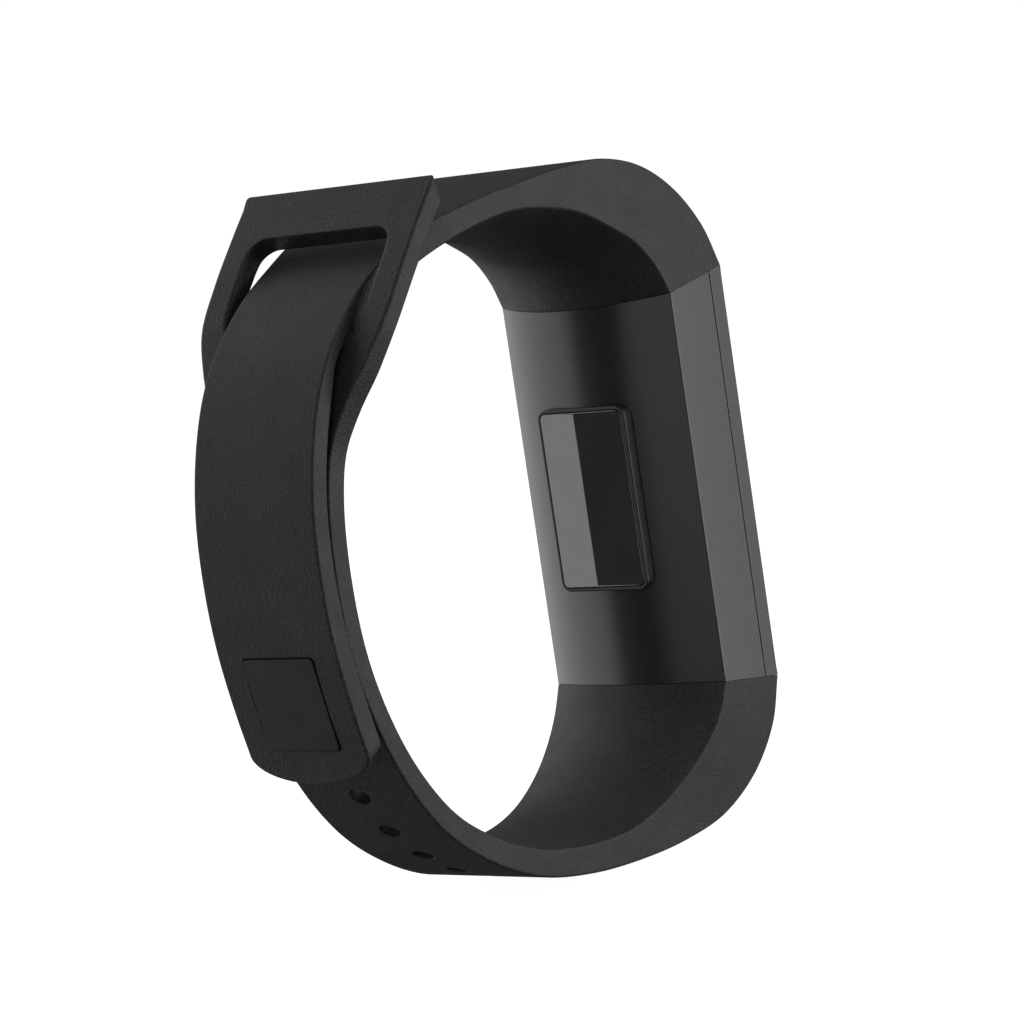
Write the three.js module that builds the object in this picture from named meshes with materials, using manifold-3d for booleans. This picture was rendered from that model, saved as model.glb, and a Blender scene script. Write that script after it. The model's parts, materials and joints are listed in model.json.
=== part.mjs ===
// Fitness tracker band, closed as it is worn.
// Millimetres. X points out of the display, Y runs across the band, Z runs along the display.
// The origin is the middle of the wrist opening.

import * as THREE from 'three';
import { mergeVertices } from 'three/addons/utils/BufferGeometryUtils.js';
import Module from 'manifold-3d';

const wasm = await Module();
wasm.setup();

// ---------------------------------------------------------------- driving dimensions

const GAP = 0.3;                 // air between pieces that touch on the real band
const CASE = {
  back: 25.3,                    // x of the case's wrist-side edges
  front: 34.35,                  // x of the display face
  parting: 32.25,                // x of the joint between front cover and rear case
  width: 20,
  halfBack: 18.8,                // half length at the back edges
  halfFront: 20.25,              // half length at the display face
  crown: 3.2,                    // how far the wrist side bulges between its edges
  wall: 1.2,
};
const LENS = { halfWidth: 8.2, halfLength: 16.5, corner: 1.8, thickness: 0.9 };
const BEZEL = { halfWidth: 5.15, halfLength: 8.95, corner: 1.0, face: 21.75, back: 23.1, glassInset: 0.4 };
const TONGUE = { back: 25.4, thickness: 2.3, halfWidth: 6, length: 8.2 };
const HOLE = { radius: 1.05, pitch: 5.2, count: 9, withPeg: 6 };
const PLATE = { width: 7.9, length: 8.7, thickness: 0.7, sunk: -0.05, corner: 0.4, air: 0.2 };
const PEG = { radius: 0.75, reach: 2.0, chamfer: 0.25, bore: 1.0 };
const TAIL_THICKNESS = 2.15;
const SLOT = { halfWidth: 7.9, from: 5, to: 17.3, upperCorner: 1.7, lowerCorner: 3.2 };

// Places along the straps, counted in stations from the case.
const CUT_LIFT = 12.9;           // hinge line where the tail lifts
const CUT_TIP = 14.9;            // hinge line where the tip peels
const HALF_CUT = 0.03;           // half the gap at a hinge line
const CASE_END_GAP = 0.02;       // left open at the case
const PLATE_INDEX = 16.88;       // the clasp plate's middle on the tail
const PEG_INDEX = 17.16;         // the peg's place on the tail

// Inside the case. Lengths named from and to are positions along X.
const COVER_GAP = 0.1;           // half the gap at the parting line
const END_INSET = 0.12;          // case ends held back from the straps
const FIT = 0.12;                // air round a glass in its seat
const SCREW = { y: 7.4, z: 16.2, radius: 0.5, bore: 0.75, post: 1.15, from: 28.2, to: 32.9 };
const SEAL = { halfWidth: 9.4, halfLength: 19.1, corner: 0.6, width: 0.55, depth: 0.55 };
const FOAM_FRAME = { halfWidth: 6.6, halfLength: 14.4, corner: 0.8, width: 0.6, from: 31.9, to: 32.5 };
const PANEL = { halfWidth: 6.7, halfLength: 14.6, corner: 0.5, from: 30.6, to: 31.6 };
const BOARD = { halfWidth: 8.2, halfLength: 14.2, corner: 0.8, from: 27.9, to: 28.6 };
const BATTERY = { halfWidth: 7.2, halfLength: 7.6, corner: 0.9, from: 25.25, to: 27.6, z: -5.4 };
const MOTOR = { x: 26.1, z: 8.6, radius: 1.5, from: -5.8, to: 0.2, shaft: 0.35, shaftFrom: -5, shaftTo: 3.6 };
const WEIGHT = { heavySide: 1.45, lightSide: 0.85, length: 2.6, to: 3.3 };
const BARRIER = { halfWidth: 3.6, halfLength: 7.4, corner: 0.4, width: 0.5, from: 22.35, to: 23.2 };
const SENSOR_BOARD = { halfWidth: 3.9, halfLength: 7.8, corner: 0.4, from: 23.45, to: 23.9 };
const CONTACT = { y: [-3.6, -1.2, 1.2, 3.6], halfWidth: 0.55, from: 20.6, to: 26.4, air: 0.15 };

// Plain blocks inside the case: name, look, then from and to along X, Y and Z.
const BLOCKS = [
  ['display_flex', 'flex', 28.9, 30.3, -3, 3, 14.9, 15.1],
  ['processor_chip', 'chip', 28.9, 29.7, -3.5, 1.5, 2, 7],
  ['radio_chip', 'chip', 28.9, 29.6, -3, 1, -5, -1],
  ['motion_sensor_chip', 'chip', 28.9, 29.6, 3.6, 6, 3, 5.5],
  ['antenna_strip', 'gold', 28.9, 29.2, -6.5, 6.5, 11.4, 12.9],
  ['battery_pad', 'foam', 24.6, 24.95, -5, 5, -11.5, 0.5],
  ['green_led_upper', 'led', 22.5, 23.2, -1, 1, 3.4, 5],
  ['green_led_lower', 'led', 22.5, 23.2, -1, 1, -5, -3.4],
  ['photodiode', 'chip', 22.5, 23.2, -1.7, 1.7, -1.6, 1.6],
];

// Stations of the two straps, from the case outwards. Each is
// outer x, outer z, inner x, inner z, width, crown of the inner face.
const UPPER = [
  [34.35, 20.3, 25.3, 18.85, 20.0, 3.2],
  [32.45, 24.3, 23.75, 21.6, 19.8, 3.05],
  [28.9, 28.2, 21.2, 24.2, 19.5, 2.8],
  [24.0, 31.1, 18.0, 26.0, 19.3, 2.75],
  [18.0, 32.5, 13.8, 27.9, 19.1, 2.7],
  [11.5, 32.45, 9.2, 29.0, 18.8, 2.6],
  [5.0, 31.85, 4.0, 29.45, 18.2, 2.4],
  [-1.0, 31.1, -1.6, 28.75, 17.3, 1.9],
  [-6.5, 29.9, -7.1, 27.2, 15.4, 1.0],
  [-11.5, 28.03, -10.9, 25.5, 13.9, 0.2],
  [-16.7, 25.2, -15.2, 22.9, 13.5, 0],
  [-21.17, 21.2, -20.28, 20.43, 13.5, 0],
  [-23.67, 17.7, -22.17, 16.8, 13.5, 0],
  [-25.67, 13.0, -23.85, 12.4, 13.5, 0],
  [-26.89, 7.8, -24.95, 7.5, 13.5, 0],
  [-27.24, 2.0, -25.24, 2.0, 13.5, 0],
  [-26.87, -3.8, -24.8, -3.55, 13.5, 0],
  [-25.8, -9.5, -23.72, -8.95, 13.5, 0],
  [-24.75, -13.65, -22.75, -12.85, 13.5, 0],
  [-24.15, -16.4, -22.4, -14.6, 13.5, 0],
];
const LOWER = [
  [34.35, -20.3, 25.3, -18.85, 20.0, 3.2],
  [32.55, -24.65, 23.75, -21.7, 19.8, 3.0],
  [29.15, -28.6, 20.9, -24.5, 18.9, 2.6],
  [24.0, -31.4, 17.4, -26.7, 17.8, 2.3],
  [17.5, -32.4, 13.3, -28.4, 16.9, 1.8],
  [10.5, -32.4, 8.8, -29.2, 16.2, 1.2],
  [3.5, -31.8, 3.0, -28.95, 15.2, 0.6],
  [-3.3, -30.3, -2.6, -27.8, 14.0, 0.2],
  [-9.6, -27.3, -8.3, -25.3, 13.2, 0],
  [-15.0, -23.3, -13.4, -21.8, 12.8, 0],
  [-19.3, -18.0, -17.4, -17.0, 12.7, 0],
  [-22.3, -12.0, -20.3, -11.5, 12.7, 0],
  [-24.25, -5.6, -22.15, -5.4, 12.7, 0],
  [-24.8, 1.4, -22.7, 1.4, 12.7, 0],
  [-24.25, 8.2, -22.15, 7.8, 12.7, 0],
  [-23.05, 12.6, -20.95, 12.0, 13.0, 0],
  [-21.8, 16.2, -19.75, 15.3, 15.4, 0],
  [-20.15, 19.6, -18.4, 18.4, 18.6, 0],
  [-18.07, 23.2, -16.6, 22.05, 21.1, 0],
  [-15.15, 27.0, -13.65, 25.75, 21.5, 0],
  [-12.2, 30.4, -10.7, 29.1, 21.5, 0],
  [-8.8, 34.07, -8.33, 31.65, 21.5, 0],
];

// ---------------------------------------------------------------- colours

const LOOK = {
  rubber: { color: 0x2c2c2d, roughness: 0.85, metalness: 0 },
  shell: { color: 0x3c3c3d, roughness: 0.42, metalness: 0 },
  plate: { color: 0x2a2a2b, roughness: 0.55, metalness: 0 },
  bezel: { color: 0x161617, roughness: 0.3, metalness: 0 },
  glass: { color: 0x101012, roughness: 0.08, metalness: 0 },
  board: { color: 0x1c4a34, roughness: 0.5, metalness: 0 },
  chip: { color: 0x18181a, roughness: 0.4, metalness: 0 },
  foil: { color: 0xb9bcc0, roughness: 0.35, metalness: 0.8 },
  steel: { color: 0x9ea2a6, roughness: 0.3, metalness: 1 },
  gold: { color: 0xc9a04a, roughness: 0.3, metalness: 1 },
  foam: { color: 0x222222, roughness: 0.95, metalness: 0 },
  flex: { color: 0xa8662a, roughness: 0.45, metalness: 0 },
  led: { color: 0x8fd6a0, roughness: 0.3, metalness: 0 },
};

const group = new THREE.Group();

function add(name, look, geometry, parent = group) {
  const mesh = new THREE.Mesh(geometry, new THREE.MeshStandardMaterial(LOOK[look]));
  mesh.name = name;
  parent.add(mesh);
  return mesh;
}

// ---------------------------------------------------------------- solids and booleans

function toSolid(geometry) {
  const bare = geometry.clone();
  bare.deleteAttribute('normal');
  bare.deleteAttribute('uv');
  const merged = mergeVertices(bare, 1e-4);
  return new wasm.Manifold(new wasm.Mesh({
    numProp: 3,
    vertProperties: new Float32Array(merged.attributes.position.array),
    triVerts: new Uint32Array(merged.index.array),
  }));
}

function toGeometry(solid) {
  const mesh = solid.getMesh();
  const geometry = new THREE.BufferGeometry();
  geometry.setAttribute('position', new THREE.BufferAttribute(mesh.vertProperties, 3));
  geometry.setIndex(new THREE.BufferAttribute(mesh.triVerts, 1));
  return geometry;
}

function cut(geometry, ...tools) {
  let solid = toSolid(geometry);
  for (const tool of tools) {
    solid = solid.subtract(toSolid(tool));
  }
  return toGeometry(solid);
}

function common(a, b) {
  return toGeometry(toSolid(a).intersect(toSolid(b)));
}

function join(...geometries) {
  let solid = toSolid(geometries[0]);
  for (const geometry of geometries.slice(1)) {
    solid = solid.add(toSolid(geometry));
  }
  return toGeometry(solid);
}

// ---------------------------------------------------------------- outlines and prisms

function polygon(points) {
  return new THREE.Shape(points.map(([a, b]) => new THREE.Vector2(a, b)));
}

// the corners ahead may have a radius of their own
function roundedRectangle(halfA, halfB, radius, ahead = radius) {
  const shape = new THREE.Shape();
  shape.moveTo(-halfA + radius, -halfB);
  shape.lineTo(halfA - ahead, -halfB);
  shape.absarc(halfA - ahead, -halfB + ahead, ahead, -Math.PI / 2, 0);
  shape.lineTo(halfA, halfB - ahead);
  shape.absarc(halfA - ahead, halfB - ahead, ahead, 0, Math.PI / 2);
  shape.lineTo(-halfA + radius, halfB);
  shape.absarc(-halfA + radius, halfB - radius, radius, Math.PI / 2, Math.PI);
  shape.lineTo(-halfA, -halfB + radius);
  shape.absarc(-halfA + radius, -halfB + radius, radius, Math.PI, 1.5 * Math.PI);
  return shape;
}

const ACROSS_X = new THREE.Matrix4().makeBasis(
  new THREE.Vector3(0, 1, 0), new THREE.Vector3(0, 0, 1), new THREE.Vector3(1, 0, 0));
const ACROSS_Y = new THREE.Matrix4().makeBasis(
  new THREE.Vector3(1, 0, 0), new THREE.Vector3(0, 0, 1), new THREE.Vector3(0, -1, 0));

// outline in (y, z), from x = from to x = to
function slabX(shape, from, to, curveSegments = 3) {
  const geometry = new THREE.ExtrudeGeometry(shape, {
    depth: to - from, bevelEnabled: false, curveSegments,
  });
  return geometry.applyMatrix4(ACROSS_X).translate(from, 0, 0);
}

// outline in (x, z), centred on y = 0
function slabY(shape, width) {
  const geometry = new THREE.ExtrudeGeometry(shape, { depth: width, bevelEnabled: false });
  return geometry.translate(0, 0, -width / 2).applyMatrix4(ACROSS_Y);
}

function box(x0, x1, y0, y1, z0, z1) {
  const geometry = new THREE.BoxGeometry(x1 - x0, y1 - y0, z1 - z0);
  return geometry.translate((x0 + x1) / 2, (y0 + y1) / 2, (z0 + z1) / 2);
}

// ---------------------------------------------------------------- straps

function strapCurves(stations) {
  const outer = stations.map(([x, z, , , width]) => new THREE.Vector3(x, width / 2, z));
  const inner = stations.map(([, , x, z, , crown]) => new THREE.Vector3(x, crown, z));
  return {
    last: stations.length - 1,
    outer: new THREE.CatmullRomCurve3(outer),
    inner: new THREE.CatmullRomCurve3(inner),
  };
}

// outer point, inner point, half width and crown at a station index, whole or not
function section(strap, index) {
  const outer = strap.outer.getPoint(index / strap.last);
  const inner = strap.inner.getPoint(index / strap.last);
  return { outer, inner, half: outer.y, crown: inner.y };
}

function ringOf({ outer, inner, half, crown }, steps) {
  const across = new THREE.Vector3(inner.x - outer.x, 0, inner.z - outer.z).normalize();
  const ring = [
    new THREE.Vector3(outer.x, -half, outer.z),
    new THREE.Vector3(outer.x, half, outer.z),
  ];
  for (let i = 0; i <= steps; i += 1) {
    const share = 1 - (2 * i) / steps;
    const rise = crown * (1 - share * share);
    ring.push(new THREE.Vector3(inner.x + across.x * rise, half * share, inner.z + across.z * rise));
  }
  return ring;
}

function loft(rings) {
  const count = rings[0].length;
  const positions = rings.flat().flatMap((p) => [p.x, p.y, p.z]);
  const index = [];
  for (let r = 0; r < rings.length - 1; r += 1) {
    for (let i = 0; i < count; i += 1) {
      const a = r * count + i;
      const b = r * count + ((i + 1) % count);
      index.push(a, b, b + count, a, b + count, a + count);
    }
  }
  const end = (rings.length - 1) * count;
  for (let i = 1; i < count - 1; i += 1) {
    index.push(0, i + 1, i);
    index.push(end, end + i, end + i + 1);
  }
  const geometry = new THREE.BufferGeometry();
  geometry.setAttribute('position', new THREE.Float32BufferAttribute(positions, 3));
  geometry.setIndex(index);
  return geometry;
}

function flip(geometry) {
  const index = geometry.index.array;
  for (let i = 0; i < index.length; i += 3) {
    [index[i + 1], index[i + 2]] = [index[i + 2], index[i + 1]];
  }
  return geometry;
}

// from one station index to another, with perStation rings to a station
function strapPiece(strap, from, to, perStation, steps, tip = false) {
  const rings = [];
  const ringCount = Math.max(2, Math.round((to - from) * perStation) + 1);
  for (let i = 0; i < ringCount; i += 1) {
    rings.push(ringOf(section(strap, from + ((to - from) * i) / (ringCount - 1)), steps));
  }
  if (tip) {
    // the end of the tail is half an ellipse, seen square on
    for (let i = 1; i <= 6; i += 1) {
      const turn = (i / 6) * 1.35;
      const at = section(strap, to + Math.sin(turn));
      at.half *= Math.cos(turn);
      rings.push(ringOf(at, steps));
    }
  }
  return loft(rings);
}

// a matrix that puts local z along the strap's outward normal, with its origin on the outer face
function seatAt(strap, index) {
  const here = section(strap, index);
  const ahead = section(strap, index + 0.02);
  const behind = section(strap, index - 0.02);
  const along = new THREE.Vector3(ahead.outer.x - behind.outer.x, 0, ahead.outer.z - behind.outer.z);
  along.normalize();
  const side = new THREE.Vector3(0, 1, 0);
  const outward = new THREE.Vector3(-along.z, 0, along.x);
  if (outward.x * (here.outer.x - here.inner.x) + outward.z * (here.outer.z - here.inner.z) < 0) {
    outward.negate();
    side.negate();
  }
  const matrix = new THREE.Matrix4().makeBasis(along, side, outward);
  if (matrix.determinant() < 0) {
    matrix.makeBasis(along, side.negate(), outward);
  }
  return matrix.setPosition(here.outer.x, 0, here.outer.z);
}

function peg(radius, from, to, sides = 14) {
  const geometry = new THREE.CylinderGeometry(radius, radius, to - from, sides);
  return geometry.rotateX(Math.PI / 2).translate(0, 0, (from + to) / 2);
}

// station index that lies a given distance along the outer face from another index
function walk(strap, index, distance) {
  const step = 0.01 * Math.sign(distance);
  let left = Math.abs(distance);
  let at = index;
  let here = section(strap, at).outer;
  while (left > 0) {
    at += step;
    const next = section(strap, at).outer;
    left -= Math.hypot(next.x - here.x, next.z - here.z);
    here = next;
  }
  return at;
}

function nearestIndex(strap, point) {
  let best = 0;
  for (let index = 0; index <= strap.last; index += 0.01) {
    if (section(strap, index).outer.setY(0).distanceTo(point)
      < section(strap, best).outer.setY(0).distanceTo(point)) {
      best = index;
    }
  }
  return best;
}

const upper = strapCurves(UPPER);
const lower = strapCurves(LOWER);

// ---------------------------------------------------------------- upper strap and tail

function tonguePocket(side) {
  const reach = CASE.halfBack + TONGUE.length + GAP;
  const z = [side * (CASE.halfBack - 2), side * reach].sort((a, b) => a - b);
  return box(TONGUE.back - GAP, TONGUE.back + TONGUE.thickness + GAP,
    -TONGUE.halfWidth - GAP, TONGUE.halfWidth + GAP, z[0], z[1]);
}

add('upper_strap', 'rubber', cut(
  strapPiece(upper, CASE_END_GAP, CUT_LIFT - HALF_CUT, 3, 6), tonguePocket(1)));
add('tail_flap', 'rubber', strapPiece(upper, CUT_LIFT + HALF_CUT, CUT_TIP - HALF_CUT, 4, 2));

const plateSeat = seatAt(upper, PLATE_INDEX);
const pegSeat = seatAt(upper, PEG_INDEX);
const plateBottom = -PLATE.sunk - PLATE.thickness;
const pocketHalfLength = PLATE.length / 2 + PLATE.air;
const pocketHalfWidth = PLATE.width / 2 + PLATE.air;
const platePocket = box(-pocketHalfLength, pocketHalfLength, -pocketHalfWidth, pocketHalfWidth,
  plateBottom - GAP, 2).applyMatrix4(plateSeat);
const pegBore = peg(PEG.bore, -4, 0.5).applyMatrix4(pegSeat);
add('tail_tip', 'rubber', cut(
  strapPiece(upper, CUT_TIP + HALF_CUT, upper.last - 1, 4, 2, true), platePocket, pegBore));

const plateOutline = roundedRectangle(PLATE.length / 2, PLATE.width / 2, PLATE.corner);
add('clasp_plate', 'plate', new THREE.ExtrudeGeometry(plateOutline, {
  depth: PLATE.thickness, bevelEnabled: false, curveSegments: 3,
}).translate(0, 0, plateBottom).applyMatrix4(plateSeat));

const pegTop = plateBottom - GAP;
const pegEnd = -TAIL_THICKNESS - PEG.reach;
const pegProfile = [
  [0, pegEnd], [PEG.radius - PEG.chamfer, pegEnd], [PEG.radius, pegEnd + PEG.chamfer],
  [PEG.radius, pegTop], [0, pegTop],
].map(([r, y]) => new THREE.Vector2(r, y));
add('clasp_peg', 'steel',
  new THREE.LatheGeometry(pegProfile, 14).rotateX(Math.PI / 2).applyMatrix4(pegSeat));

// ---------------------------------------------------------------- lower strap with its frame

// one row of holes, with one of them on the peg's own axis
function holeTools() {
  const tools = [peg(HOLE.radius, -8, 1).applyMatrix4(pegSeat)];
  const start = nearestIndex(lower, new THREE.Vector3().setFromMatrixPosition(pegSeat));
  for (let i = 0; i < HOLE.count; i += 1) {
    if (i !== HOLE.withPeg) {
      const index = walk(lower, start, (i - HOLE.withPeg) * HOLE.pitch);
      tools.push(peg(HOLE.radius, -5, 2).applyMatrix4(seatAt(lower, index)));
    }
  }
  return tools;
}

// the slot in the frame, cut square to the frame's flat outer face
function slotTool() {
  const corner = section(lower, lower.last).outer;
  const bend = section(lower, lower.last - 3).outer;
  const down = new THREE.Vector3(bend.x - corner.x, 0, bend.z - corner.z).normalize();
  const outward = new THREE.Vector3(down.z, 0, -down.x);
  const side = new THREE.Vector3().crossVectors(outward, down);
  const middle = (SLOT.from + SLOT.to) / 2;
  const halfLength = (SLOT.to - SLOT.from) / 2;
  const shape = roundedRectangle(halfLength, SLOT.halfWidth, SLOT.upperCorner, SLOT.lowerCorner);
  const geometry = new THREE.ExtrudeGeometry(shape, { depth: 12, bevelEnabled: false, curveSegments: 5 });
  geometry.translate(0, 0, -6);
  geometry.applyMatrix4(new THREE.Matrix4().makeBasis(down, side, outward));
  return geometry.translate(corner.x + down.x * middle, 0, corner.z + down.z * middle);
}

add('lower_strap', 'rubber', cut(
  flip(strapPiece(lower, CASE_END_GAP, lower.last, 3, 6)),
  tonguePocket(-1), slotTool(), ...holeTools()));

// ---------------------------------------------------------------- case

// section of the case across the band, grown inwards by a wall
function caseSection(wall, front) {
  const half = CASE.width / 2 - wall;
  const crown = CASE.crown - wall * 0.4;
  const back = CASE.back + wall * 0.6;
  const shape = new THREE.Shape();
  shape.moveTo(front, -half);
  shape.lineTo(front, half);
  shape.lineTo(back, half);
  // a parabola through both edges, as one quadratic curve
  shape.quadraticCurveTo(back - 2 * crown, 0, back, -half);
  shape.closePath();
  return shape;
}

// the case seen from the side, shorter at the wrist than at the display
function caseSide(inset, from, to) {
  const slope = (CASE.halfFront - CASE.halfBack) / (CASE.front - CASE.back);
  const half = (x) => CASE.halfBack + slope * (x - CASE.back) - inset;
  return polygon([[from, -half(from)], [to, -half(to)], [to, half(to)], [from, half(from)]]);
}

function caseBody(wall, inset, from, to, curveSegments = 12) {
  const long = new THREE.ExtrudeGeometry(caseSection(wall, to), {
    depth: 60, bevelEnabled: false, curveSegments,
  }).translate(0, 0, -30);
  return common(long, slabY(caseSide(inset, from, to), CASE.width + 4));
}

const shellBack = CASE.back - CASE.crown - 1;
const bezelHole = slabX(roundedRectangle(BEZEL.halfWidth - 0.5, BEZEL.halfLength - 0.5, 0.6), 18, 26);
const bezelSeat = slabX(
  roundedRectangle(BEZEL.halfWidth + FIT, BEZEL.halfLength + FIT, BEZEL.corner), 18, BEZEL.back + 0.1);
const SCREWS = [[-1, -1], [1, -1], [-1, 1], [1, 1]].map(([a, b]) => [a * SCREW.y, b * SCREW.z]);

// a round bar along X
function along(from, to, radius, [y, z]) {
  const geometry = new THREE.CylinderGeometry(radius, radius, to - from, 12);
  return geometry.rotateZ(Math.PI / 2).translate((from + to) / 2, y, z);
}

// the opening a tongue passes through in the end wall of the case
function tongueSlot(side) {
  const z = [side * (CASE.halfBack - 1.4), side * (CASE.halfBack + 4)].sort((a, b) => a - b);
  const air = GAP / 2;
  return box(TONGUE.back - air, TONGUE.back + TONGUE.thickness + air,
    -TONGUE.halfWidth - air, TONGUE.halfWidth + air, z[0], z[1]);
}

function makeRearCase() {
  const seam = CASE.parting - COVER_GAP;
  const outer = caseBody(0, END_INSET, shellBack, seam);
  const hollow = caseBody(CASE.wall, CASE.wall + 0.6, shellBack, CASE.parting + 2, 8);
  const groove = slabX(
    roundedRectangle(SEAL.halfWidth + FIT, SEAL.halfLength + FIT, SEAL.corner),
    seam - SEAL.depth - COVER_GAP, seam + 1);
  const posts = SCREWS.map((place) => along(CASE.back + 0.6, seam - 0.7, SCREW.post, place));
  const bores = SCREWS.map((place) => along(SCREW.from - 0.6, seam + 1, SCREW.bore, place));
  const shell = join(cut(outer, hollow), ...posts);
  return cut(shell, groove, bezelHole, bezelSeat, tongueSlot(1), tongueSlot(-1), ...bores);
}

function makeFrontCover() {
  const outer = caseBody(0, END_INSET, CASE.parting + COVER_GAP, CASE.front);
  const pocket = slabX(
    roundedRectangle(LENS.halfWidth + FIT, LENS.halfLength + FIT, LENS.corner),
    CASE.front - LENS.thickness - GAP / 2, CASE.front + 1);
  const view = slabX(
    roundedRectangle(LENS.halfWidth - 1, LENS.halfLength - 1, 1), CASE.parting - 1, CASE.front + 1);
  const bores = SCREWS.map((place) => along(CASE.parting - 1, SCREW.to + 0.2, SCREW.bore, place));
  return cut(outer, pocket, view, ...bores);
}

add('rear_case', 'shell', makeRearCase());
add('front_cover', 'shell', makeFrontCover());
add('display_lens', 'glass', slabX(
  roundedRectangle(LENS.halfWidth, LENS.halfLength, LENS.corner), CASE.front - LENS.thickness, CASE.front));

function ring(halfA, halfB, radius, width) {
  const shape = roundedRectangle(halfA, halfB, radius);
  shape.holes.push(roundedRectangle(halfA - width, halfB - width, Math.max(0.2, radius - width / 2)));
  return shape;
}

// a flat slab or a flat ring described by one of the tables above
function slabOf({ halfWidth, halfLength, corner, from, to, z = 0 }) {
  return slabX(roundedRectangle(halfWidth, halfLength, corner), from, to).translate(0, 0, z);
}

function ringSlab({ halfWidth, halfLength, corner, width }, from, to) {
  return slabX(ring(halfWidth, halfLength, corner, width), from, to);
}

add('case_gasket', 'foam', ringSlab(SEAL, CASE.parting - SEAL.depth - 0.05, CASE.parting - 0.05));
add('display_foam_frame', 'foam', ringSlab(FOAM_FRAME, FOAM_FRAME.from, FOAM_FRAME.to));
add('display_panel', 'glass', slabOf(PANEL));

// ---------------------------------------------------------------- electronics

add('main_board', 'board', slabOf(BOARD));
add('battery', 'foil', slabOf(BATTERY));
for (const [name, look, ...ends] of BLOCKS) {
  add(name, look, box(...ends));
}

// turned about the motor's axis, which lies along Y, with or without a bore
function motorTurning(outerRadius, innerRadius, from, to) {
  const profile = [[innerRadius, from], [outerRadius, from], [outerRadius, to], [innerRadius, to]];
  if (innerRadius > 0) {
    profile.push([innerRadius, from]);
  }
  const points = profile.map(([r, y]) => new THREE.Vector2(r, y));
  return new THREE.LatheGeometry(points, 16).translate(MOTOR.x, 0, MOTOR.z);
}

add('motor_can', 'steel', motorTurning(MOTOR.radius, MOTOR.shaft + 0.15, MOTOR.from, MOTOR.to));
add('motor_shaft', 'steel', motorTurning(MOTOR.shaft, 0, MOTOR.shaftFrom, MOTOR.shaftTo));

// the weight is heavier on one side of the shaft than on the other
const weightShape = new THREE.Shape();
weightShape.absarc(0, 0, WEIGHT.heavySide, 0, Math.PI);
weightShape.absarc(0, 0, WEIGHT.lightSide, Math.PI, 2 * Math.PI);
weightShape.holes.push(new THREE.Path().absarc(0, 0, MOTOR.shaft + FIT, 0, 2 * Math.PI));
add('motor_weight', 'steel', new THREE.ExtrudeGeometry(weightShape, {
  depth: WEIGHT.length, bevelEnabled: false, curveSegments: 10,
}).rotateX(Math.PI / 2).translate(MOTOR.x, WEIGHT.to, MOTOR.z));

// ---------------------------------------------------------------- heart-rate sensor

const glassHalf = BEZEL.halfWidth - BEZEL.glassInset;
const glassLong = BEZEL.halfLength - BEZEL.glassInset;
add('sensor_bezel', 'bezel', cut(
  slabX(roundedRectangle(BEZEL.halfWidth, BEZEL.halfLength, BEZEL.corner), BEZEL.face, BEZEL.back),
  slabX(roundedRectangle(glassHalf + 0.1, glassLong + 0.1, 0.7), 18, BEZEL.face + 0.45),
  slabX(roundedRectangle(glassHalf - 0.7, glassLong - 0.7, 0.4), 18, 26)));
add('sensor_window', 'glass', slabX(
  roundedRectangle(glassHalf, glassLong, 0.6), BEZEL.face - 0.05, BEZEL.face + 0.35));
add('light_barrier', 'foam', ringSlab(BARRIER, BARRIER.from, BARRIER.to));
add('sensor_board', 'board', slabOf(SENSOR_BOARD));

// ---------------------------------------------------------------- strap tongues, plug and screws

function tongue(side) {
  const z = [side * (CASE.halfBack - 1.1), side * (CASE.halfBack + TONGUE.length)].sort((a, b) => a - b);
  return box(TONGUE.back, TONGUE.back + TONGUE.thickness, -TONGUE.halfWidth, TONGUE.halfWidth, z[0], z[1]);
}

// one gold contact on the lower tongue, or with air round it the seat it lies in
function contactBlock(y, air) {
  const face = TONGUE.back + TONGUE.thickness;
  return box(face - 0.2 - air, air > 0 ? face + 1 : face, y - CONTACT.halfWidth - air,
    y + CONTACT.halfWidth + air, -CONTACT.to - air, -CONTACT.from + air);
}

add('upper_tongue', 'shell', tongue(1));
add('plug_tongue', 'bezel', cut(tongue(-1), ...CONTACT.y.map((y) => contactBlock(y, CONTACT.air))));
CONTACT.y.forEach((y, i) => {
  add(`plug_contact_${i + 1}`, 'gold', contactBlock(y, 0));
});

SCREWS.forEach((place, i) => {
  add(`case_screw_${i + 1}`, 'steel', along(SCREW.from, SCREW.to, SCREW.radius, place));
});

export default group;
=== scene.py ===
"""Looks of a closed fitness tracker band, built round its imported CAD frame.

Millimetres in the tables below, metres in Blender. X points out of the display, Y runs across the band and
Z along the display. The straps, the case and the glasses are all sheets: an outline with holes, rounded
along its rims and laid on the shape that the CAD gives the piece.
"""

import json
import math

import bmesh
import bpy
import numpy as np
from mathutils import Matrix, Vector
from mathutils.geometry import delaunay_2d_cdt


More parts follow.
